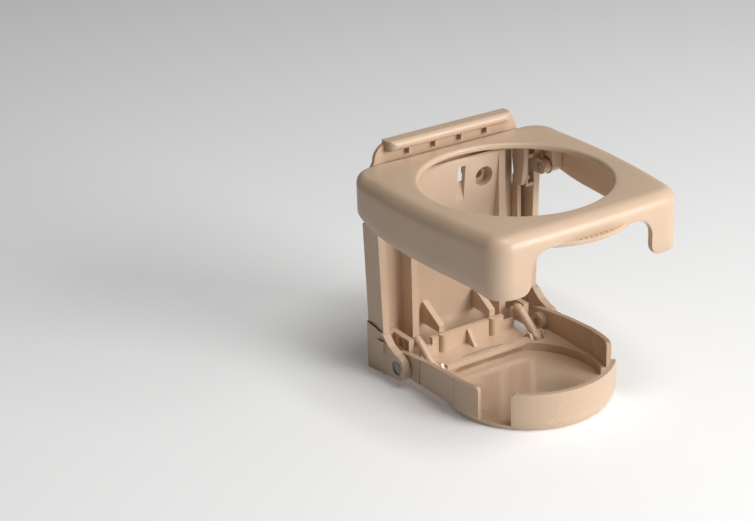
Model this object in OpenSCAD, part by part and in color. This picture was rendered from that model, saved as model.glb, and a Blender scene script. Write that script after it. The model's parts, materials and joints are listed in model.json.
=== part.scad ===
// Folding wall-mounted drink holder, open position.
// Millimetres. +X right, +Z up, the front faces -Y.
// Origin: middle of the wall face of the back plate.

/* [Cup ring] */
// Diameter of the hole that takes the cup
hole_d = 83; // [76:0.5:84]
// Width of the ring across its sides
ring_w = 109.6; // [108:0.2:112]
// Distance from the wall to the front edge of the ring
ring_reach = 108; // [107:0.5:110]
// Height of the ring's front legs, from the top face
leg_h = 26.6; // [26:0.2:29]
// Wall thickness of the ring
ring_wall = 2.6; // [2.2:0.1:2.8]

/* [Back plate] */
// Height of the back plate
plate_h = 107.5; // [107:0.5:108]
// Thickness of the plate's web
web_t = 2.4; // [2:0.1:2.6]
// Diameter of the shank hole for a mounting screw
screw_d = 4.4; // [3.6:0.1:5]
// Diameter of the counterbore for the screw head
head_d = 9.4; // [8:0.1:10]

/* [Tray] */
// Diameter of the tray's dish at its rim
dish_d = 78.2; // [76:0.2:79]
// Height of the dish from its underside to its rim
dish_h = 18; // [16:0.5:18]
// Wall thickness of the tray
tray_wall = 2.2; // [1.8:0.1:2.4]

/* [Pins] */
// Diameter of the four hinge pins
hinge_pin_d = 4; // [3.6:0.1:4]
// Diameter of the link and crank pins
link_pin_d = 2.6; // [2.4:0.1:2.8]
// Radial clearance of every running pin
run_gap = 0.06; // [0.03:0.01:0.1]

/* [Hidden] */
$fn = 96;
eps = 0.02;
plastic = [0.77, 0.68, 0.58];
steel = [0.72, 0.72, 0.70];

// Heights
top_z = plate_h / 2;
bottom_z = -plate_h / 2;
ring_top = 44.25;
dish_bottom = bottom_z;
floor_z = -49.75;

// Axes that the moving parts turn on, as [distance from the wall, height]
ring_axis = [19.2, 28.35];
tray_axis = [26.2, -45.15];
crank_axis = [13, 22.15];
foot_axis = [33, -47.2];
hook_axis = [17.5, -40.75];

// Ring outline: nearly straight sides that bulge on one long arc
side_r = 313;
side_mid = 39.5;
back_edge = 5;
back_r = 13;
front_r = 10.5;
front_bow = 0.8;
hole_fwd = 55.2;
lug_r = 3.4;
deck_t = 2.6;
rear_skirt_h = 9.5;
cut_half = 31.5;
cut_top = 8.5;

// Back plate: only its middle reaches the wall, the sides stand back from it
web_front = 4.6;
set_back = 2.8;
pad_half = 36;
top_half = 38.4;
flange_half = 33;
rail_front = 14.85;
rail_t = 3.3;
rail_lean = 0.03;
rail_mid = 43.85;
post_top = 36.25;
rib_in = 22.6;
rib_out = 26.1;
rib_front = 13.4;
panel_top = 39.5;
panel_foot = -51.5;
panel_foot_front = 3.3;
ear_in = 40.2;
ear_out = 43.8;
ear_r = 6;
gusset_x = 14.1;
gusset_t = 3;
screw_x = 15;
screw_z = 28;
screw_low_z = -18;
boss_r = head_d / 2 + 1.5;
boss_foot_r = screw_d / 2 + 1.8;
slot_x = 2.3;
slot_w = 4.1;

// Sliders and links
slide_in = 36.2;
bar_out = 38.3;
head_out = 40.2;
link_x = 28.3;
link_r = 2;
tail = [35, -48.2];

// Tray
dish_fwd = 63.4;
tray_half = 39.3;
side_out = 39.75;
tray_rear = 18;
base_r = 36.8;
recess_r = 34.5;

function half_x(fwd, inset) =
    ring_w / 2 - side_r + sqrt(side_r * side_r - pow(fwd - side_mid, 2)) - inset;
function ring_half(inset) = concat(
    [for (a = [90:-10:0])
        [half_x(back_edge + back_r, 0) - back_r + (back_r - inset) * cos(a),
         -(back_edge + back_r) + (back_r - inset) * sin(a)]],
    [for (f = [22:12:94]) [half_x(f, inset), -f]],
    [for (a = [0:-10:-90])
        [half_x(ring_reach - front_bow - front_r, 0) - front_r + (front_r - inset) * cos(a),
         -(ring_reach - front_bow - front_r) + (front_r - inset) * sin(a)]],
    [[20, -(ring_reach - front_bow * 0.25) + inset]]);
function mirrored(points) = [for (i = [len(points) - 1:-1:0]) [-points[i][0], points[i][1]]];

module ring_outline(inset) {
    right = ring_half(inset);
    polygon(concat(right, mirrored(right)));
}

// Extrudes a side view, drawn as [distance from the wall, height], across x0 to x1
module across(x0, x1) {
    translate([x0, 0, 0])
        rotate([90, 0, -90])
            translate([0, 0, -(x1 - x0)])
                linear_extrude(x1 - x0) children();
}

// A round bar along X on an axis given as [distance from the wall, height]
module rod_x(axis, r, x0, x1) {
    translate([x0, -axis[0], axis[1]])
        rotate([0, 90, 0])
            cylinder(r = r, h = x1 - x0);
}

module block(x0, x1, f0, f1, z0, z1) {
    translate([x0, -f1, z0])
        cube([x1 - x0, f1 - f0, z1 - z0]);
}

module both() {
    children();
    mirror([1, 0, 0]) children();
}

module left() {
    mirror([1, 0, 0]) children();
}

// ---- back plate ----
module plate_outline(inset) {
    r = 8;
    lean = rail_lean * plate_h / 2;
    half = top_half - inset;
    top = top_z - 1.2;
    half_low = min(rail_mid - lean, rail_mid - lean - inset);
    side = min(rail_mid, half + rail_mid - top_half);
    polygon(concat(
        [[-half_low, bottom_z], [half_low, bottom_z], [side, 0], [side, post_top]],
        [for (a = [0:15:90]) [half - r + r * cos(a), top - r + r * sin(a)]],
        [for (a = [90:15:180]) [-half + r + r * cos(a), top - r + r * sin(a)]],
        [[-side, post_top], [-side, 0]]));
}

module plate_slab(f0, f1, inset) {
    translate([0, -f0, 0])
        rotate([90, 0, 0])
            linear_extrude(f1 - f0) plate_outline(inset);
}

module rail() {
    lean = rail_lean * (post_top - bottom_z) / 2;
    mid = (post_top + bottom_z) / 2;
    out = rail_mid + rail_lean * mid;
    translate([0, -set_back, 0])
        rotate([90, 0, 0])
        linear_extrude(rail_front - set_back)
            polygon([[out - lean - rail_t, bottom_z], [out - lean, bottom_z],
                     [out + lean, post_top], [out + lean - rail_t, post_top]]);
    block(41.3, 44.9, 10, ring_axis[0], ring_axis[1] - lug_r, ring_axis[1] + lug_r);
    rod_x(ring_axis, lug_r, 41.3, 44.9);
}

module ear() {
    across(ear_in, ear_out)
        polygon([[set_back, -31], [9, -31.5], [16, -33.2], [20.5, -37],
                 [tray_axis[0] + 4.2, tray_axis[1] + 4.3],
                 [tray_axis[0] + 3, tray_axis[1] - 5.2], [set_back, bottom_z]]);
    rod_x(tray_axis, ear_r, ear_in, ear_out);
    // stop block outside the ear
    block(ear_out - eps, ear_out + 1.1, 12.5, 17, -41.5, -36);
}

module gusset() {
    across(gusset_x - gusset_t / 2, gusset_x + gusset_t / 2)
        polygon([[3, -28], [6.2, -28], [19.2, -35.5], [19.2, -38.75], [3, -38.75]]);
}

module flange() {
    r = 4;
    front = 9.8;
    flange_h = 4.7;
    nose_r = 2.3;
    intersection() {
        translate([0, 0, top_z - flange_h])
            linear_extrude(flange_h)
                polygon(concat(
                    [[-flange_half, -set_back], [-flange_half, -front + r]],
                    [for (a = [180:15:270]) [-flange_half + r + r * cos(a), -front + r + r * sin(a)]],
                    [for (a = [270:15:360]) [flange_half - r + r * cos(a), -front + r + r * sin(a)]],
                    [[flange_half, -set_back]]));
        // rounded front nose
        union() {
            translate([-flange_half, -front + nose_r, top_z - flange_h])
                cube([2 * flange_half, front - nose_r - set_back, flange_h]);
            translate([-flange_half, -front + nose_r, top_z - nose_r])
                rotate([0, 90, 0])
                    cylinder(r = nose_r, h = 2 * flange_half);
            translate([-flange_half, -front, top_z - flange_h + nose_r])
                cube([2 * flange_half, nose_r, flange_h - 2 * nose_r]);
            translate([-flange_half, -front + nose_r, top_z - flange_h + nose_r])
                rotate([0, 90, 0])
                    cylinder(r = nose_r, h = 2 * flange_half);
        }
    }
}

module back_plate() {
    color(plastic) difference() {
        union() {
            difference() {
                union() {
                    plate_slab(set_back, web_front, 0);
                    plate_slab(0, web_front - eps, rail_mid - pad_half);
                }
                intersection() {
                    plate_slab(-1, web_front - web_t, rail_mid - pad_half + 2.4);
                    block(-pad_half, pad_half, -1, web_front, bottom_z + 2.4, top_z - 7);
                }
                // open back behind the panel
                block(-rib_in, rib_in, -1, web_front + eps, panel_foot + 20, 33.5);
            }
            // top flange that the hand pushes on
            flange();
            // leaning panel between the two ribs
            across(-rib_in - eps, rib_in + eps)
                polygon([[rib_front - 0.8, panel_top], [rib_front, panel_top - 0.9],
                         [panel_foot_front, panel_foot], [1, panel_foot],
                         [rib_front - 2.5, panel_top - 1.6]]);
            both() {
                across(rib_in, rib_out)
                    polygon([[2.2, bottom_z], [rib_front - 1, bottom_z], [rib_front, bottom_z + 1],
                             [rib_front, panel_top - 0.9], [rib_front - 0.8, panel_top],
                             [rib_front - 2.5, panel_top - 1.6], [7.6, 33.5], [2.2, 33.5]]);
                rail();
                ear();
                gusset();
            }
            // bosses round the screw holes, down to the wall
            translate([screw_x, 0, screw_z])
                rotate([90, 0, 0]) cylinder(r = boss_foot_r, h = 8);
            translate([screw_x, -6.2, screw_z])
                rotate([90, 0, 0]) cylinder(r = boss_r, h = 4.8);
            translate([screw_x, 0, screw_low_z])
                rotate([90, 0, 0]) cylinder(r = boss_r, h = 6);
            block(-rib_in, rib_in, 0, 4, bottom_z, bottom_z + 2.4);
            // cross rib behind the panel, level with the wall face
            block(-rib_in, rib_in, 0, 8, -1.2, 1.2);
            // small ribs under the flange
            for (x = [-21:14:21])
                block(x - 0.7, x + 0.7, web_front - eps, 7.2, top_z - 8, top_z - 4.6);
        }
        translate([screw_x, 1, screw_z])
            rotate([90, 0, 0]) cylinder(d = screw_d, h = 30);
        translate([screw_x, -7.5, screw_z])
            rotate([90, 0, 0]) cylinder(d = head_d, h = 20);
        translate([screw_x, 1, screw_low_z])
            rotate([90, 0, 0]) cylinder(d = screw_d, h = 30);
        translate([screw_x, -3.6, screw_low_z])
            rotate([90, 0, 0]) cylinder(d = head_d, h = 20);
        both() {
            rod_x(ring_axis, hinge_pin_d / 2 + run_gap, 38, 46);
            rod_x(tray_axis, hinge_pin_d / 2 + run_gap, 38, 46);
            // recess round the end of the tray pin
            rod_x(tray_axis, 3.4, ear_out - 1.2, 46);
            // window behind the slider's head, open to the side
            block(pad_half + 0.4, 48, -1, 4.9, 17, 40);
            // slot for the slider's guide tongue
            block(36.9, 38, -1, 8, -36, 20);
            // clearance for the tray's hinge wall
            block(26.6, 40.1, 12, 34, -60, -34);
        }
        // through slot in the panel and the ramp below it
        block(slot_x - slot_w / 2, slot_x + slot_w / 2, 2, 20, 30.5, 35.8);
        across(slot_x - slot_w / 2, slot_x + slot_w / 2)
            polygon([[16, 31], [9.2, 31], [12.3, 12.5], [16, 12.5]]);
    }
}

// ---- cup ring ----
module skirt_below() {
    across(-70, 70)
        polygon([[-2, ring_top - 15], [12.5, ring_top - 16.7], [24, ring_top - 20],
                 [36.5, ring_top - 21.8], [69.5, ring_top - 23.2], [88, ring_top - 23.6],
                 [96, ring_top - 24.8], [103, ring_top - leg_h], [120, ring_top - leg_h],
                 [120, ring_top - 60], [-2, ring_top - 60]]);
}

module front_cut() {
    top = ring_top - cut_top;
    r = 9;
    translate([0, -80, 0])
        rotate([90, 0, 0])
            linear_extrude(40)
                polygon(concat(
                    [[-cut_half, top - 40], [-cut_half, top - r]],
                    [for (a = [180:-15:90]) [-cut_half + r + r * cos(a), top - r + r * sin(a)]],
                    [for (a = [90:-15:0]) [cut_half - r + r * cos(a), top - r + r * sin(a)]],
                    [[cut_half, top - r], [cut_half, top - 40]]));
}

module cup_ring() {
    low = ring_top - leg_h;
    color(plastic) difference() {
        union() {
            difference() {
                translate([0, 0, low])
                    linear_extrude(leg_h) ring_outline(0);
                translate([0, 0, low - 1])
                    linear_extrude(leg_h - deck_t + 1) ring_outline(ring_wall);
                skirt_below();
                front_cut();
                block(-45.2, 45.2, 0, back_edge + ring_wall + 1, low - 1, ring_top - rear_skirt_h);
                both() block(33, 45.2, 0, back_edge + ring_wall + 1, low - 1, ring_top - deck_t);
            }
            both() {
                // hinge lug outside the plate's post
                rod_x(ring_axis, lug_r, 45.5, 51.6);
                block(45.5, 51.6, ring_axis[0] - lug_r, ring_axis[0] + lug_r, ring_axis[1], ring_top - 1);
                // crank arm inside the slider
                rod_x(crank_axis, 3, 33.3, 35.8);
                across(33.3, 35.8)
                    polygon([[10.2, 21.1], [15.9, 23.1], [18, 34], [18, ring_top - 1],
                             [8.7, ring_top - 1], [8.7, 32]]);
            }
            // thumb tab under the front edge
            intersection() {
                translate([0, -72, ring_top - 9.5])
                    cylinder(r = 39.6, h = 2);
                block(-24, 24, ring_reach - 4, 120, 0, 60);
            }
        }
        translate([0, -hole_fwd, ring_top - 12])
            cylinder(d = hole_d, h = 20);
        both() {
            rod_x(ring_axis, hinge_pin_d / 2, 45, 50.4);
            rod_x(crank_axis, link_pin_d / 2, 33, 36.5);
        }
    }
}

// ---- cup tray ----
module gap_corner(angle, turn) {
    // rounds the rim's corner beside a gap, cutting outwards through the wall
    r = 2;
    translate([0, -dish_fwd, dish_bottom + dish_h])
        rotate([0, 0, angle])
            rotate([90, 0, 90])
                translate([0, 0, dish_d / 2 - 5])
                    linear_extrude(10)
                        difference() {
                            translate([min(0, turn * r) - eps, -r]) square([r + 2 * eps, r + 1]);
                            translate([turn * r, -r]) circle(r = r);
                        }
}

module rim_gap() {
    from = 21;
    to = 43;
    for (side = [0, 1])
        mirror([side, 0, 0]) {
            translate([0, -dish_fwd, dish_bottom + 2.4])
                linear_extrude(30)
                    polygon([[20 * cos(from), -20 * sin(from)], [60 * cos(from), -60 * sin(from)],
                             [60 * cos(to), -60 * sin(to)], [20 * cos(to), -20 * sin(to)]]);
            gap_corner(-from, 1);
            gap_corner(-to, -1);
        }
}

module cup_tray() {
    rim_z = dish_bottom + dish_h;
    color(plastic) difference() {
        union() {
            difference() {
                union() {
                    translate([0, -dish_fwd, dish_bottom])
                        cylinder(r1 = base_r, r2 = dish_d / 2, h = floor_z - dish_bottom);
                    translate([0, -dish_fwd, floor_z])
                        cylinder(r = dish_d / 2, h = rim_z - floor_z);
                    // hinge end: a square box whose sides run into the dish
                    block(-tray_half, tray_half, tray_rear, dish_fwd, floor_z, rim_z);
                    block(-side_out, side_out, tray_rear, 37.7, floor_z, rim_z);
                }
                translate([0, -dish_fwd, dish_bottom + 2])
                    cylinder(r = recess_r, h = 30);
                translate([0, -dish_fwd, floor_z + 2])
                    cylinder(r = dish_d / 2 - tray_wall, h = dish_h);
                block(-tray_half + tray_wall, tray_half - tray_wall, tray_rear - 5, dish_fwd, floor_z + 2, 0);
                rim_gap();
                // the side walls' tops fall towards the hinge
                across(-60, 60)
                    polygon([[10, -42.5], [18, -41.4], [22, -39.8], [30, -38.4], [45, -36.6],
                             [60, rim_z], [60, 0], [10, 0]]);
            }
            // rear wall and its two round ribs, which meet the plate's gussets
            block(-20, 20, tray_rear, tray_rear + 2, floor_z, -39.75);
            block(-26, 26, tray_rear, tray_rear + 2, floor_z, -43.25);
            both() {
                translate([gusset_x, -tray_rear - 2, floor_z])
                    cylinder(r = 2.2, h = 10.6);
                // pivot bosses inside the side walls
                rod_x(tray_axis, 4.4, 34.4, tray_half);
                // lugs that hold the link's foot pin
                for (x = [link_x - 4.2, link_x + 2.6])
                    across(x, x + 1.6)
                        polygon([[foot_axis[0] - 3.2, floor_z + 1],
                                 [foot_axis[0] - 1.3, foot_axis[1] + 1.9],
                                 [foot_axis[0] + 1.3, foot_axis[1] + 1.9],
                                 [foot_axis[0] + 3.2, floor_z + 1]]);
            }
            across(-0.9, 0.9)
                polygon([[19, floor_z + 1], [19, -41], [20.5, -41], [27, floor_z + 1]]);
            block(-23, 23, 33.6, 36, floor_z + 1, floor_z + 3.5);
        }
        both() {
            rod_x(tray_axis, hinge_pin_d / 2, 33, 41);
            rod_x(foot_axis, link_pin_d / 2, 22, 33.6);
            // slot in the floor for the link
            block(link_x - 2.5, link_x + 2.5, 24, 37, -60, -40);
            // open corner beside the rear wall, for the slider's lug
            block(26.2, tray_half - tray_wall - 3.5, 10, 24.5, -60, -30);
        }
    }
}

// ---- right-hand copies of the paired parts ----
module slider() {
    difference() {
        union() {
            block(slide_in, head_out, 6, 15.6, 18.7, 33.9);
            block(slide_in, bar_out, 5.2, 9.2, -43, 22);
            block(30.8, bar_out, 5.2, 9.2, -43.6, -36.8);
            block(30.8, 33.6, 6, 21.2, -43.6, -36.8);
            block(37.1, 37.8, 3, 5.3, -34, 4);
        }
        // window through the head and the slot for the crank pin
        block(slide_in + 1.2, head_out + 1, 0, 20, 20.1, 32.2);
        block(slide_in - 1, head_out + 1, 8.7, 14.6, crank_axis[1] - 1.9, crank_axis[1] + 1.9);
        // slot for the link's hook pin
        block(30, 34, 13.2, 19.8, hook_axis[1] - 1.45, hook_axis[1] + 2.6);
    }
}

module link() {
    difference() {
        union() {
            rod_x(foot_axis, 2.3, link_x - 2, link_x + 2);
            rod_x(hook_axis, 2.3, link_x - 2, link_x + 2);
            hull() {
                translate([link_x, -tail[0], tail[1]]) sphere(r = link_r, $fn = 28);
                translate([link_x, -22.6, -39.2]) sphere(r = link_r, $fn = 28);
            }
            hull() {
                translate([link_x, -22.6, -39.2]) sphere(r = link_r, $fn = 28);
                translate([link_x, -20.2, -38.2]) sphere(r = link_r, $fn = 28);
            }
            hull() {
                translate([link_x, -20.2, -38.2]) sphere(r = link_r, $fn = 28);
                translate([link_x, -hook_axis[0], hook_axis[1]]) sphere(r = link_r, $fn = 28);
            }
        }
        rod_x(foot_axis, link_pin_d / 2 + run_gap, link_x - 3, link_x + 3);
        rod_x(hook_axis, link_pin_d / 2, link_x - 3, link_x + 3);
    }
}

module washer(axis, r_out, r_in, x0, x1) {
    difference() {
        rod_x(axis, r_out, x0, x1);
        rod_x(axis, r_in, x0 - 1, x1 + 1);
    }
}

module ring_pin() { rod_x(ring_axis, hinge_pin_d / 2, 41, 50.3); }
module tray_pin() { rod_x(tray_axis, hinge_pin_d / 2, 34.8, 43.4); }
module crank_pin() { rod_x(crank_axis, link_pin_d / 2, 33.4, 39.4); }
module foot_pin() { rod_x(foot_axis, link_pin_d / 2, link_x - 4.1, link_x + 4.8); }
module hook_pin() { rod_x(hook_axis, link_pin_d / 2, link_x - 2.4, 33.4); }
module ring_washer() { washer(ring_axis, 3.9, hinge_pin_d / 2, 44.95, 45.45); }
module tray_washer() { washer(tray_axis, 3.3, hinge_pin_d / 2, 42.7, 43.2); }

module right_slider() { color(plastic) slider(); }
module left_slider() { color(plastic) left() slider(); }
module right_link() { color(plastic) link(); }
module left_link() { color(plastic) left() link(); }
module right_ring_pin() { color(steel) ring_pin(); }
module left_ring_pin() { color(steel) left() ring_pin(); }
module right_tray_pin() { color(steel) tray_pin(); }
module left_tray_pin() { color(steel) left() tray_pin(); }
module right_crank_pin() { color(plastic) crank_pin(); }
module left_crank_pin() { color(plastic) left() crank_pin(); }
module right_foot_pin() { color(plastic) foot_pin(); }
module left_foot_pin() { color(plastic) left() foot_pin(); }
module right_hook_pin() { color(plastic) hook_pin(); }
module left_hook_pin() { color(plastic) left() hook_pin(); }
module right_ring_washer() { color(steel) ring_washer(); }
module left_ring_washer() { color(steel) left() ring_washer(); }
module right_tray_washer() { color(steel) tray_washer(); }
module left_tray_washer() { color(steel) left() tray_washer(); }

back_plate();
cup_ring();
cup_tray();
left_slider();
right_slider();
left_link();
right_link();
left_ring_pin();
right_ring_pin();
left_tray_pin();
right_tray_pin();
left_crank_pin();
right_crank_pin();
left_foot_pin();
right_foot_pin();
left_hook_pin();
right_hook_pin();
left_ring_washer();
right_ring_washer();
left_tray_washer();
right_tray_washer();
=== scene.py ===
import json
import math

import bmesh
import bpy
from mathutils import Matrix, Vector


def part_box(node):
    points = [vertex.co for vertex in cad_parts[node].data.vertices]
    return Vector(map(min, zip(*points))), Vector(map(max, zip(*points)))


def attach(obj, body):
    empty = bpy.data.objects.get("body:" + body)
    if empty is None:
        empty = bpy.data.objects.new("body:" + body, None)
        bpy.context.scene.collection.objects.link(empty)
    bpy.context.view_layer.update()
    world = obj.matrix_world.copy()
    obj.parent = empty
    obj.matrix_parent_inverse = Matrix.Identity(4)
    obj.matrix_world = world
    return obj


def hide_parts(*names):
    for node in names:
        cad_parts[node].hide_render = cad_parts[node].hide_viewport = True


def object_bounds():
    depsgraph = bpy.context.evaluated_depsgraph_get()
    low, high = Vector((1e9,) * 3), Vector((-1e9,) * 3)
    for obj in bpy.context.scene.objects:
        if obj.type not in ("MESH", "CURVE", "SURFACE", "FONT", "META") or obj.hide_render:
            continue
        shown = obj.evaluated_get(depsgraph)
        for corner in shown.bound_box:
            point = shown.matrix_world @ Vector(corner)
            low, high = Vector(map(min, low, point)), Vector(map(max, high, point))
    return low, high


MM = 0.001
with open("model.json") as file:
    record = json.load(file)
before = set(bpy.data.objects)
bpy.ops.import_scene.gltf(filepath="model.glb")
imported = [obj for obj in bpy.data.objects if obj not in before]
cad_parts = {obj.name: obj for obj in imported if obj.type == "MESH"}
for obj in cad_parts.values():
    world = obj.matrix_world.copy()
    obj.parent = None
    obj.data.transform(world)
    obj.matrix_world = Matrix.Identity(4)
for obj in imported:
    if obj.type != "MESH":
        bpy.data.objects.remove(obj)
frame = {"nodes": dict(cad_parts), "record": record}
cad_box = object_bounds()
nodes = frame["nodes"]
mounts = {m["name"]: m for m in frame["record"]["mounts"]}

# ---- sizes of the ring, in millimetres, as in the part ----
RING_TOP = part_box("cup_ring")[1].z / MM
RING_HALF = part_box("cup_ring")[1].x / MM
HOLE_R = mounts["cup_hole"]["dims"]["r_mm"]
HOLE_FWD = -mounts["cup_hole"]["pos_m"][1] / MM
RING_REACH = 108.0
SIDE_R, SIDE_MID = 313.0, 39.5
BACK_EDGE, BACK_R = 5.0, 13.0
FRONT_R, FRONT_BOW = 10.5, 0.8
DECK_T, WALL_T = 2.6, 2.6
LEG_H = 26.6
CUT_HALF, CUT_TOP, CUT_R, LEG_R = 31.5, 8.5, 9.0, 5.0
FRONT_BAND = 3.0            # the front skirt starts this far behind the front face
REAR_SKIRT, SLOT_SKIRT = 9.5, 3.4
SLOT_IN, SLOT_OUT = 33.0, 45.2
RING_AXIS, LUG_R, LUG_SPAN = (19.2, 28.35), 3.4, (45.5, 51.6)
CRANK_AXIS, CRANK_R, CRANK_SPAN = (13.0, 22.15), 3.0, (33.3, 35.8)
CRANK_BACK, CRANK_FRONT = (8.7, 32), (18, 34)
ROOT = 1.2                  # how far lugs and cranks reach up into the deck
TOP_R_BACK, TOP_R_GAIN = 3.0, 3.0   # rounding of the top edge at the wall side, and its growth
TOP_R_RUN = 16              # length over which it grows
LIP = 1.3                   # rounding of the cup hole's top edge
EDGE = 0.45                 # small rounding on moulded edges
JUMP = 0.02                 # half the width of a step in the skirt's height

# the thumb tab under the ring's front edge
TAB_R, TAB_FWD = 39.6, 72.0
TAB_TOP, TAB_BOTTOM = RING_TOP - 7.5, RING_TOP - 9.5
TAB_BACK = RING_REACH - 3.2
RIB_BACK, RIB_FRONT = 109.0, 110.4
RIB_LOW, RIB_HIGH = 0.2, 0.25
RIB_PITCH, RIB_HALF = 2.6, 0.45


# ---- small geometry helpers ----
def at(x, fwd, z):
    """A point from its side, its distance from the wall and its height, all in millimetres."""
    return Vector((x * MM, -fwd * MM, z * MM))


def smooth(mesh, angle=32):
    mesh.polygons.foreach_set("use_smooth", [True] * len(mesh.polygons))
    mesh.set_sharp_from_angle(angle=math.radians(angle))


def new_object(name, bm):
    bmesh.ops.recalc_face_normals(bm, faces=bm.faces)
    mesh = bpy.data.meshes.new(name)
    bm.to_mesh(mesh)
    bm.free()
    smooth(mesh)
    obj = bpy.data.objects.new(name, mesh)
    bpy.context.scene.collection.objects.link(obj)
    return obj


def round_edges(bm, width, segments, above):
    """Rounds the edges whose faces meet at more than `above` degrees."""
    bm.edges.index_update()
    edges = [e for e in bm.edges if e.is_manifold and e.calc_face_angle() > math.radians(above)]
    bmesh.ops.bevel(bm, geom=edges, offset=width * MM, segments=segments, profile=0.6,
                    affect="EDGES", clamp_overlap=True)


def add_solid(target, near, far, width, segments=2, above=25):
    """Adds a closed solid between two matching loops of points, with rounded edges."""
    bm = bmesh.new()
    near = [bm.verts.new(p) for p in near]
    far = [bm.verts.new(p) for p in far]
    bm.faces.new(near)
    bm.faces.new(list(reversed(far)))
    for i in range(len(near)):
        j = (i + 1) % len(near)
        bm.faces.new([near[j], near[i], far[i], far[j]])
    bmesh.ops.recalc_face_normals(bm, faces=bm.faces)
    round_edges(bm, width, segments, above)
    mesh = bpy.data.meshes.new("part")
    bm.to_mesh(mesh)
    bm.free()
    target.from_mesh(mesh)
    bpy.data.meshes.remove(mesh)


def add_prism(target, outline, x0, x1, width):
    """A plate cut to a side view [(fwd, z)] and standing between x0 and x1."""
    add_solid(target, [at(x0, f, z) for f, z in outline], [at(x1, f, z) for f, z in outline], width)


def arc(cx, cy, r, a0, a1, steps):
    """Points on an arc, from a0 to a1 degrees."""
    return [(cx + r * math.cos(math.radians(a0 + (a1 - a0) * i / steps)),
             cy + r * math.sin(math.radians(a0 + (a1 - a0) * i / steps))) for i in range(steps + 1)]


# ---- cup ring ----
def corner_centre(fwd, r):
    """Centre of a corner arc that runs smoothly into the long side arc."""
    return RING_HALF - SIDE_R + math.sqrt((SIDE_R - r) ** 2 - (fwd - SIDE_MID) ** 2)


def ring_outline():
    """The ring's right half seen from above: (x, fwd, inward normal), from the wall side to the front."""
    points = []
    rear_x = [0, 6, 12, 18, 24, 29, SLOT_IN - JUMP, SLOT_IN + JUMP, 35, 37, 39]
    points += [(x, BACK_EDGE, 0.0, 1.0) for x in rear_x]
    back_f = BACK_EDGE + BACK_R
    back_x = corner_centre(back_f, BACK_R)
    back_tilt = math.degrees(math.asin((back_f - SIDE_MID) / (SIDE_R - BACK_R)))
    step_angle = -90 + math.degrees(math.asin((SLOT_OUT - back_x) / BACK_R))
    angles = [-90, step_angle - 0.15, step_angle + 0.15] + [-82 + 8 * i for i in range(10)]
    angles = sorted(a for a in angles if a < back_tilt - 2) + [back_tilt]
    for a in angles:
        c, s = math.cos(math.radians(a)), math.sin(math.radians(a))
        points.append((back_x + BACK_R * c, back_f + BACK_R * s, -c, -s))
    front_f = RING_REACH - FRONT_BOW - FRONT_R
    front_x = corner_centre(front_f, FRONT_R)
    front_tilt = math.degrees(math.asin((front_f - SIDE_MID) / (SIDE_R - FRONT_R)))
    for i in range(1, 30):
        a = math.radians(back_tilt + (front_tilt - back_tilt) * i / 30)
        c, s = math.cos(a), math.sin(a)
        points.append((RING_HALF - SIDE_R + SIDE_R * c, SIDE_MID + SIDE_R * s, -c, -s))
    for i in range(15):
        a = math.radians(front_tilt + (90 - front_tilt) * i / 14)
        c, s = math.cos(a), math.sin(a)
        points.append((front_x + FRONT_R * c, front_f + FRONT_R * s, -c, -s))
    leg_x = [37.8, 36.9] + [CUT_HALF + LEG_R * t for t in (0.8, 0.6, 0.42, 0.27, 0.15, 0.07, 0.02)]
    cut_x = [CUT_HALF - CUT_R * t for t in (0.02, 0.06, 0.12, 0.2, 0.3, 0.42, 0.56, 0.7, 0.85, 1.0)]
    front_xs = leg_x + [CUT_HALF + JUMP, CUT_HALF - JUMP] + cut_x + [19, 15, 11, 7, 3.5, 0]
    for x in front_xs:
        slope = 2 * FRONT_BOW * x / front_x ** 2
        length = math.hypot(slope, 1)
        points.append((x, RING_REACH - FRONT_BOW * (x / front_x) ** 2, -slope / length, -1 / length))
    return points


def blend_between(table, value):
    """Straight-line interpolation in a short table of (value, result)."""
    for (a, fa), (b, fb) in zip(table, table[1:]):
        if value <= b:
            t = max(0.0, (value - a) / (b - a))
            return fa + (fb - fa) * t
    return table[-1][1]


# the skirt's depth below the top face, along the side from the wall to the front: (fwd, depth)
SIDE_SKIRT = [(0, 15.0), (12.5, 16.7), (18, 18.4), (24, 20.0), (30, 21.1), (36.5, 21.8), (50, 22.5),
              (69.5, 23.2), (80, 23.5), (88, 23.9), (93, 24.4), (97, 25.2), (100, 26.0), (103, 26.5),
              (105, LEG_H), (120, LEG_H)]


def skirt_depth(x, fwd):
    """How far the skirt reaches below the ring's top face."""
    x = abs(x)
    if fwd < BACK_EDGE + 1 and x < SLOT_OUT:
        return REAR_SKIRT if x < SLOT_IN else SLOT_SKIRT
    if fwd > RING_REACH - FRONT_BAND and x < CUT_HALF:
        u = (x - (CUT_HALF - CUT_R)) / CUT_R
        return CUT_TOP if u <= 0 else CUT_TOP + CUT_R * (1 - math.sqrt(max(0.0, 1 - u * u)))
    if fwd > RING_REACH - FRONT_BAND and x < CUT_HALF + LEG_R:
        u = 1 - (x - CUT_HALF) / LEG_R
        return LEG_H - LEG_R * (1 - math.sqrt(max(0.0, 1 - u * u)))
    return blend_between(SIDE_SKIRT, fwd)


def edge_radius(fwd):
    """Rounding between the top face and the skirt: tighter at the wall side."""
    t = min(1.0, max(0.0, (fwd - BACK_EDGE) / TOP_R_RUN))
    return TOP_R_BACK + TOP_R_GAIN * t * t * (3 - 2 * t)


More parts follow.
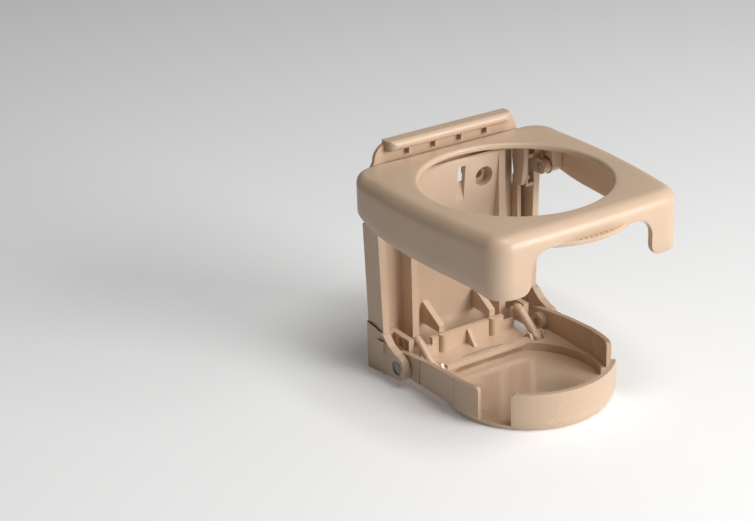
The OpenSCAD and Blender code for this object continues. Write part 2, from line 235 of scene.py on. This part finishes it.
def ring_section(x, fwd, nx, nf):
    """One closed section of the ring: skirt outside, rounding, deck, hole, underside, skirt inside."""
    depth = skirt_depth(x, fwd)
    r = edge_radius(fwd)
    bottom = RING_TOP - depth
    bearing = math.atan2(x, fwd - HOLE_FWD)
    sx, sf = math.sin(bearing), math.cos(bearing)
    section = []

    def skirt_point(inset, z):
        section.append((x + nx * inset, fwd + nf * inset, z))

    def hole_point(radius, z):
        section.append((sx * radius, HOLE_FWD + sf * radius, z))

    def flat_points(goal, steps, z):
        start = section[-1]
        for t in steps:
            section.append((start[0] + (goal[0] - start[0]) * t, start[1] + (goal[1] - start[1]) * t, z))

    # outside of the skirt and the rounded top edge
    for t in (0, 0.3, 0.6, 0.85):
        skirt_point(0, bottom + EDGE + (RING_TOP - r - bottom - EDGE) * t)
    for i in range(9):
        a = math.radians(90 * i / 8)
        skirt_point(r * (1 - math.cos(a)), RING_TOP - r * (1 - math.sin(a)))
    # top of the deck, the hole's lip and its wall
    flat_points((sx * (HOLE_R + LIP), HOLE_FWD + sf * (HOLE_R + LIP)), (0.3, 0.6, 0.85), RING_TOP)
    for i in range(6):
        a = math.radians(90 * i / 5)
        hole_point(HOLE_R + LIP * (1 - math.sin(a)), RING_TOP - LIP * (1 - math.cos(a)))
    under = RING_TOP - DECK_T
    for i in range(3):
        a = math.radians(90 * i / 2)
        hole_point(HOLE_R + EDGE * (1 - math.cos(a)), under + EDGE * (1 - math.sin(a)))
    # underside of the deck and the inside of the skirt
    inner_r = max(0.4, r - WALL_T)
    flat_points((x + nx * (WALL_T + inner_r), fwd + nf * (WALL_T + inner_r)), (0.35, 0.7, 1.0), under)
    low_in = min(under - inner_r, bottom + EDGE)
    for i in range(1, 4):
        a = math.radians(90 * i / 3)
        z = under - inner_r * (1 - math.cos(a))
        skirt_point(WALL_T + inner_r * (1 - math.sin(a)), max(z, bottom + EDGE))
    for t in (0.35, 0.7, 1.0):
        z = under - inner_r + (low_in - under + inner_r) * t
        skirt_point(WALL_T, max(z, bottom + EDGE))
    skirt_point(WALL_T - EDGE * 0.3, bottom + EDGE * 0.3)
    skirt_point(WALL_T - EDGE, bottom)
    skirt_point(EDGE, bottom)
    skirt_point(EDGE * 0.3, bottom + EDGE * 0.3)
    return section


def build_ring():
    half = ring_outline()
    columns = half + [(-x, f, -nx, nf) for x, f, nx, nf in reversed(half[1:-1])]
    bm = bmesh.new()
    grid = [[bm.verts.new(at(*p)) for p in ring_section(*c)] for c in columns]
    count, rows = len(grid), len(grid[0])
    for i in range(count):
        a, b = grid[i], grid[(i + 1) % count]
        for j in range(rows):
            k = (j + 1) % rows
            bm.faces.new([a[j], a[k], b[k], b[j]])
    bmesh.ops.recalc_face_normals(bm, faces=bm.faces)
    root = RING_TOP - ROOT
    lug = ([(RING_AXIS[0] - LUG_R, root)] + arc(*RING_AXIS, LUG_R, 180, 360, 12)
           + [(RING_AXIS[0] + LUG_R, root)])
    crank = ([(CRANK_BACK[0], root), CRANK_BACK] + arc(*CRANK_AXIS, CRANK_R, 170, 340, 10)
             + [CRANK_FRONT, (CRANK_FRONT[0], root)])
    for side in (1, -1):
        add_prism(bm, lug, side * LUG_SPAN[0], side * LUG_SPAN[1], 0.5)
        add_prism(bm, crank, side * CRANK_SPAN[0], side * CRANK_SPAN[1], 0.35)
    add_thumb_tab(bm)
    return new_object("cup_ring_shell", bm)


def add_thumb_tab(target):
    """The lens-shaped tab under the front edge, with plain grip ribs on it."""
    reach = math.degrees(math.acos((TAB_BACK - TAB_FWD) / TAB_R))
    rim = arc(TAB_FWD, 0, TAB_R, -reach, reach, 28)
    upper = [at(x, f, TAB_TOP) for f, x in rim]
    lower = [at(x, f, TAB_BOTTOM) for f, x in rim]
    add_solid(target, upper, lower, 0.55, 3, 40)
    low, high = TAB_TOP - RIB_LOW, TAB_TOP + RIB_HIGH
    rib = [(RIB_BACK, low), (RIB_FRONT, low), (RIB_FRONT, high), (RIB_BACK, high)]
    for i in range(-3, 4):
        x = i * RIB_PITCH
        add_prism(target, rib, x - RIB_HALF, x + RIB_HALF, 0.15)


ring = build_ring()
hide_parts("cup_ring")
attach(ring, "ring")


# ---- materials ----
def node_material(name):
    mat = bpy.data.materials.new(name)
    mat.use_nodes = True
    tree = mat.node_tree
    shader = tree.nodes["Principled BSDF"]
    place = tree.nodes.new("ShaderNodeTexCoord").outputs["Object"]
    return mat, tree, shader, place


def noise(tree, place, scale, detail=3, stretch=None):
    if stretch:
        mapping = tree.nodes.new("ShaderNodeMapping")
        mapping.inputs["Scale"].default_value = stretch
        tree.links.new(place, mapping.inputs["Vector"])
        place = mapping.outputs["Vector"]
    tex = tree.nodes.new("ShaderNodeTexNoise")
    tex.inputs["Scale"].default_value = scale
    tex.inputs["Detail"].default_value = detail
    tree.links.new(place, tex.inputs["Vector"])
    return tex.outputs["Fac"]


def spread(tree, value, low, high, start=0.3, end=0.7):
    node = tree.nodes.new("ShaderNodeMapRange")
    node.inputs["From Min"].default_value = start
    node.inputs["From Max"].default_value = end
    node.inputs["To Min"].default_value = low
    node.inputs["To Max"].default_value = high
    tree.links.new(value, node.inputs["Value"])
    return node.outputs["Result"]


def two_tone(tree, value, dark, light, start=0.3, end=0.7):
    ramp = tree.nodes.new("ShaderNodeValToRGB")
    ramp.color_ramp.elements[0].position = start
    ramp.color_ramp.elements[0].color = (*dark, 1)
    ramp.color_ramp.elements[1].position = end
    ramp.color_ramp.elements[1].color = (*light, 1)
    tree.links.new(value, ramp.inputs["Fac"])
    return ramp.outputs["Color"]


def bump(tree, shader, height, strength, distance):
    node = tree.nodes.new("ShaderNodeBump")
    node.inputs["Strength"].default_value = strength
    node.inputs["Distance"].default_value = distance
    tree.links.new(height, node.inputs["Height"])
    tree.links.new(node.outputs["Normal"], shader.inputs["Normal"])


def plastic(name, base, rough, grain):
    """Moulded plastic: a slow shift of tone, faint flow marks in the gloss and a very fine grain."""
    mat, tree, shader, place = node_material(name)
    dark = tuple(c * 0.965 for c in base)
    light = tuple(c * 1.03 for c in base)
    tree.links.new(two_tone(tree, noise(tree, place, 38), dark, light), shader.inputs["Base Color"])
    flow = noise(tree, place, 60, 2, (1, 1, 0.25))
    tree.links.new(spread(tree, flow, rough - 0.04, rough + 0.05), shader.inputs["Roughness"])
    bump(tree, shader, noise(tree, place, 2600, 2), grain, 0.00003)
    shader.inputs["IOR"].default_value = 1.49
    shader.inputs["Specular IOR Level"].default_value = 0.5
    return mat


def polished_dish(mat, centre, radius, rough, polish):
    """The dish's floor is shinier than the rest of the tray."""
    tree = mat.node_tree
    shader = tree.nodes["Principled BSDF"]
    place = tree.nodes.new("ShaderNodeTexCoord").outputs["Object"]
    shift = tree.nodes.new("ShaderNodeMapping")
    shift.inputs["Location"].default_value = (-centre.x, -centre.y, 0)
    shift.inputs["Scale"].default_value = (1, 1, 0)
    tree.links.new(place, shift.inputs["Vector"])
    length = tree.nodes.new("ShaderNodeVectorMath")
    length.operation = "LENGTH"
    tree.links.new(shift.outputs["Vector"], length.inputs[0])
    inside = spread(tree, length.outputs["Value"], polish, rough, radius * 0.97, radius * 1.02)
    uneven = spread(tree, noise(tree, place, 30), -0.01, 0.01)
    total = tree.nodes.new("ShaderNodeMath")
    total.operation = "ADD"
    tree.links.new(inside, total.inputs[0])
    tree.links.new(uneven, total.inputs[1])
    tree.links.new(total.outputs["Value"], shader.inputs["Roughness"])


def pin_steel(name, dark, light, rough):
    """Drawn stainless stock with fine lines round it."""
    mat, tree, shader, place = node_material(name)
    lines = noise(tree, place, 900, 2, (6, 0.4, 0.4))
    tree.links.new(two_tone(tree, lines, dark, light), shader.inputs["Base Color"])
    tree.links.new(spread(tree, lines, rough - 0.07, rough + 0.09), shader.inputs["Roughness"])
    shader.inputs["Metallic"].default_value = 1.0
    bump(tree, shader, lines, 0.25, 0.00002)
    return mat


TAN = (0.60, 0.435, 0.305)
ring_plastic = plastic("ring_plastic", TAN, 0.34, 0.25)
plate_plastic = plastic("plate_plastic", TAN, 0.36, 0.3)
tray_plastic = plastic("tray_plastic", TAN, 0.28, 0.06)
DISH_R, FLOOR_R = 39.1, 35.5      # the dish outside, and its shiny floor
dish_centre = Vector((0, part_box("cup_tray")[0].y + DISH_R * MM, 0))
polished_dish(tray_plastic, dish_centre, FLOOR_R * MM, 0.27, 0.1)
small_plastic = plastic("small_plastic", TAN, 0.34, 0.2)
steel = pin_steel("pin_steel", (0.50, 0.49, 0.46), (0.66, 0.65, 0.61), 0.31)
dull_steel = pin_steel("dull_steel", (0.26, 0.245, 0.22), (0.36, 0.34, 0.31), 0.45)


def paint(obj, mat):
    obj.data.materials.clear()
    obj.data.materials.append(mat)


def soften(obj, width):
    """Rounds a CAD piece's edges slightly, as moulding does."""
    flat = obj.modifiers.new("flat_faces", "DECIMATE")
    flat.decimate_type = "DISSOLVE"
    flat.angle_limit = math.radians(0.6)
    edge = obj.modifiers.new("edges", "BEVEL")
    edge.width = width * MM
    edge.segments = 2
    edge.limit_method = "ANGLE"
    edge.angle_limit = math.radians(30)
    smooth(obj.data, 25)
    even = obj.modifiers.new("normals", "WEIGHTED_NORMAL")
    even.keep_sharp = False


# the end of a node's name, its material and the rounding of its edges in millimetres
FINISHES = [
    ("back_plate", plate_plastic, 0.35),
    ("cup_tray", tray_plastic, 0.35),
    (("slider", "link"), small_plastic, 0.25),
    (("crank_pin", "foot_pin", "hook_pin"), small_plastic, 0.2),
    (("tray_pin", "washer"), dull_steel, 0.12),
    ("ring_pin", steel, 0.12),
]

paint(ring, ring_plastic)
for name, obj in nodes.items():
    for ending, mat, rounding in FINISHES:
        if name.endswith(ending):
            paint(obj, mat)
            soften(obj, rounding)


# ---- floor, light and camera ----
AIM = Vector((0, -0.05, 0))
CAMERA_PLACE = Vector((-0.4477, -0.64357, 0.33606))
CAMERA_TURN = (-32.65, 24.01, -1.77)      # azimuth, elevation and roll
CAMERA_LENS = 89.07


def plain_floor():
    """A wide pale floor under the holder that glows a little, as a lit studio sweep does."""
    mesh = bpy.data.meshes.new("floor")
    z = cad_box[0][2]
    half = 6
    corners = [(-half, -half, z), (half, -half, z), (half, half, z), (-half, half, z)]
    mesh.from_pydata(corners, [], [(0, 1, 2, 3)])
    floor = bpy.data.objects.new("floor", mesh)
    bpy.context.scene.collection.objects.link(floor)
    mat, tree, shader, place = node_material("pale_floor")
    tree.links.new(two_tone(tree, noise(tree, place, 3), (0.88, 0.88, 0.875), (0.90, 0.90, 0.895)),
                   shader.inputs["Base Color"])
    shader.inputs["Roughness"].default_value = 0.8
    shader.inputs["Emission Color"].default_value = (1, 1, 1, 1)
    shader.inputs["Emission Strength"].default_value = 0.12
    paint(floor, mat)


def area_light(name, where, size, watts):
    """A rectangular lamp aimed at the holder."""
    data = bpy.data.lights.new(name, "AREA")
    data.shape = "RECTANGLE"
    data.size, data.size_y = size
    data.energy = watts
    light = bpy.data.objects.new(name, data)
    light.location = where
    light.rotation_euler = (AIM - Vector(where)).to_track_quat("-Z", "Y").to_euler()
    bpy.context.scene.collection.objects.link(light)


def studio_sky():
    """A dim sky, dark on the holder's left and pale on its right."""
    world = bpy.data.worlds.new("studio")
    world.use_nodes = True
    tree = world.node_tree
    sky = tree.nodes["Background"]
    direction = tree.nodes.new("ShaderNodeTexCoord").outputs["Generated"]
    parts = tree.nodes.new("ShaderNodeSeparateXYZ")
    tree.links.new(direction, parts.inputs["Vector"])
    shade = two_tone(tree, parts.outputs["X"], (0.0, 0.0, 0.0), (1.0, 1.0, 1.0), 0.15, 0.85)
    tree.links.new(shade, sky.inputs["Color"])
    sky.inputs["Strength"].default_value = 0.35
    bpy.context.scene.world = world


def camera():
    azimuth, elevation, roll = (math.radians(a) for a in CAMERA_TURN)
    back = Vector((math.sin(azimuth) * math.cos(elevation), -math.cos(azimuth) * math.cos(elevation),
                   math.sin(elevation)))
    right = Vector((math.cos(azimuth), math.sin(azimuth), 0))
    up = right.cross(-back)
    across = right * math.cos(roll) + up * math.sin(roll)
    upward = up * math.cos(roll) - right * math.sin(roll)
    data = bpy.data.cameras.new("camera")
    data.sensor_width = 36
    data.lens = CAMERA_LENS
    data.clip_start, data.clip_end = 0.01, 50
    cam = bpy.data.objects.new("camera", data)
    turn = Matrix((across, upward, back)).transposed().to_4x4()
    cam.matrix_world = Matrix.Translation(CAMERA_PLACE) @ turn
    bpy.context.scene.collection.objects.link(cam)
    bpy.context.scene.camera = cam


plain_floor()
area_light("key", (0.55, -1.15, 0.42), (0.7, 0.6), 14.5)
area_light("top", (0.05, -0.45, 1.1), (0.6, 0.6), 8)
studio_sky()
bpy.context.scene.view_settings.view_transform = "Standard"
camera()
